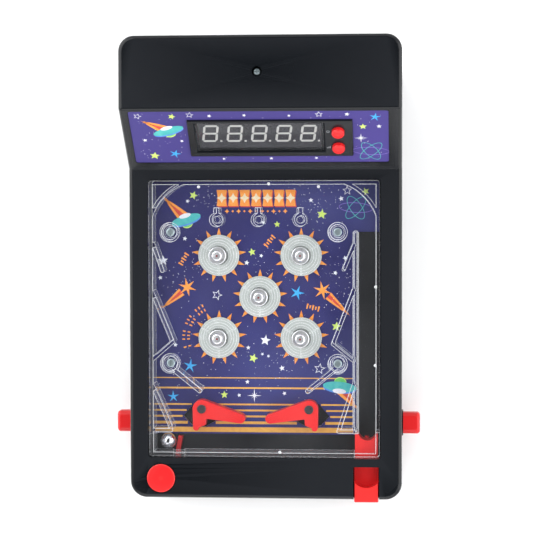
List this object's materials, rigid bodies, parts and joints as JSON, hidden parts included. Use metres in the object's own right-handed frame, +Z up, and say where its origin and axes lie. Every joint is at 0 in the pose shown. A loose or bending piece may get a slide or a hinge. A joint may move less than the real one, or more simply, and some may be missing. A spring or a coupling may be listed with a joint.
{
  "type": "tabletop electronic pinball game",
  "caption": "Table-top electronic pinball game with a sloping covered playfield, flippers, bumpers, plunger, ball gate and a raised score display header.",
  "frame": {"origin": "on the table under the middle of the game's overall box, at the level of the feet's undersides", "axes": "+X to the player's right, +Y away from the player towards the score header, +Z up"},
  "size_m": [0.2434, 0.3542, 0.1381],
  "materials": {
    "body_black": "glossy moulded",
    "base_black": "fine matte texture",
    "clear": "clear polished",
    "frosted": "frosted translucent",
    "red": "glossy red",
    "print": "printed card, blue-purple",
    "label": "printed label, purple",
    "metal": "polished",
    "steel": "zinc plated",
    "lamp": "dark red lens",
    "board": "green solder mask",
    "foot": "matte",
    "cell": "printed sleeve",
    "digit": "unlit segments",
    "dark": "black reflector"
  },
  "bodies": {
    "case": {"ball_button_spring": "steel", "batteries": "cell", "battery_contacts": "steel", "battery_door": "base_black", "battery_door_screw": "steel", "board_screws": "steel", "bumper_board": "board", "bumper_lamps": "lamp", "bumper_nuts": "steel", "bumper_post_1": "metal", "bumper_post_2": "metal", "bumper_post_3": "metal", "bumper_post_4": "metal", "bumper_post_5": "metal", "bumper_spring_1": "steel", "bumper_spring_2": "steel", "bumper_spring_3": "steel", "bumper_spring_4": "steel", "bumper_spring_5": "steel", "circuit_board": "board", "clear_cover": "clear", "cover_screws": "steel", "display_bezel": "body_black", "display_module": "dark", "display_segments": "digit", "display_window": "clear", "flipper_pins": "base_black", "flipper_spring_left": "steel", "flipper_spring_right": "steel", "header_label": "label", "header_screw": "steel", "housing_screws": "steel", "lower_housing": "base_black", "playfield_card": "print", "playfield_tray": "base_black", "plunger_spring": "steel", "rubber_feet": "foot", "speaker": "dark", "tact_switches": "dark", "tray_screws": "steel", "upper_housing": "body_black"},
    "left_button": {"flipper_button_left": "red"},
    "right_button": {"flipper_button_right": "red"},
    "left_flipper": {"flipper_left": "red"},
    "right_flipper": {"flipper_right": "red"},
    "plunger": {"plunger": "red"},
    "ball_button": {"ball_button": "red", "ball_gate": "red", "gate_screw": "steel"},
    "power_button": {"power_button": "red"},
    "sound_button": {"sound_button": "red"},
    "ball": {"ball": "metal"},
    "bumper_1": {"bumper_skirt_1": "frosted"},
    "bumper_2": {"bumper_skirt_2": "frosted"},
    "bumper_3": {"bumper_skirt_3": "frosted"},
    "bumper_4": {"bumper_skirt_4": "frosted"},
    "bumper_5": {"bumper_skirt_5": "frosted"}
  },
  "joints": [
    {"name": "left_button_press", "type": "slide", "parent": "case", "child": "left_button", "axis": [1, 0, 0], "range_m": [0, 0.00936], "stiffness_N_per_m": 120, "springref_m": -0.006, "deforming": ["flipper_spring_left"]},
    {"name": "right_button_press", "type": "slide", "parent": "case", "child": "right_button", "axis": [-1, 0, 0], "range_m": [0, 0.00936], "stiffness_N_per_m": 120, "springref_m": -0.006, "deforming": ["flipper_spring_right"]},
    {"name": "left_flipper_turn", "type": "hinge", "parent": "case", "child": "left_flipper", "pos_m": [-0.0517, -0.10431, 0.03692], "axis": [0, -0.1132, 0.9936], "range_deg": [0, 45]},
    {"name": "right_flipper_turn", "type": "hinge", "parent": "case", "child": "right_flipper", "pos_m": [0.0338, -0.10431, 0.03692], "axis": [0, -0.1132, 0.9936], "range_deg": [-45, 0]},
    {"name": "plunger_pull", "type": "slide", "parent": "case", "child": "plunger", "axis": [0, -0.9936, -0.1132], "range_m": [0, 0.026], "stiffness_N_per_m": 90, "springref_m": -0.006, "deforming": ["plunger_spring"]},
    {"name": "ball_button_press", "type": "slide", "parent": "case", "child": "ball_button", "axis": [0, 0.1132, -0.9936], "range_m": [0, 0.005], "stiffness_N_per_m": 150, "springref_m": -0.004, "deforming": ["ball_button_spring"]},
    {"name": "power_button_press", "type": "slide", "parent": "case", "child": "power_button", "axis": [0, 0.8254, -0.5646], "range_m": [0, 0.0012], "stiffness_N_per_m": 600, "springref_m": -0.001},
    {"name": "sound_button_press", "type": "slide", "parent": "case", "child": "sound_button", "axis": [0, 0.8254, -0.5646], "range_m": [0, 0.0012], "stiffness_N_per_m": 600, "springref_m": -0.001},
    {"name": "ball_roll", "type": "slide", "parent": "case", "child": "ball", "axis": [1, 0, 0], "range_m": [-0.0033, 0.0003]},
    {"name": "bumper_1_tilt", "type": "hinge", "parent": "case", "child": "bumper_1", "pos_m": [-0.0385, 0.01762, 0.04578], "axis": [1, 0, 0], "range_deg": [-2, 2], "stiffness_Nm_per_rad": 0.05, "deforming": ["bumper_spring_1"]},
    {"name": "bumper_2_tilt", "type": "hinge", "parent": "case", "child": "bumper_2", "pos_m": [0.0273, 0.01762, 0.04578], "axis": [1, 0, 0], "range_deg": [-2, 2], "stiffness_Nm_per_rad": 0.05, "deforming": ["bumper_spring_2"]},
    {"name": "bumper_3_tilt", "type": "hinge", "parent": "case", "child": "bumper_3", "pos_m": [-0.0056, -0.01507, 0.04205], "axis": [1, 0, 0], "range_deg": [-2, 2], "stiffness_Nm_per_rad": 0.05, "deforming": ["bumper_spring_3"]},
    {"name": "bumper_4_tilt", "type": "hinge", "parent": "case", "child": "bumper_4", "pos_m": [-0.0385, -0.04776, 0.03833], "axis": [1, 0, 0], "range_deg": [-2, 2], "stiffness_Nm_per_rad": 0.05, "deforming": ["bumper_spring_4"]},
    {"name": "bumper_5_tilt", "type": "hinge", "parent": "case", "child": "bumper_5", "pos_m": [0.0273, -0.04776, 0.03833], "axis": [1, 0, 0], "range_deg": [-2, 2], "stiffness_Nm_per_rad": 0.05, "deforming": ["bumper_spring_5"]}
  ],
  "couplings": [
    {"joint": "left_flipper_turn", "follows": "left_button_press", "rad_per_m": 83.8},
    {"joint": "right_flipper_turn", "follows": "right_button_press", "rad_per_m": -83.8}
  ]
}
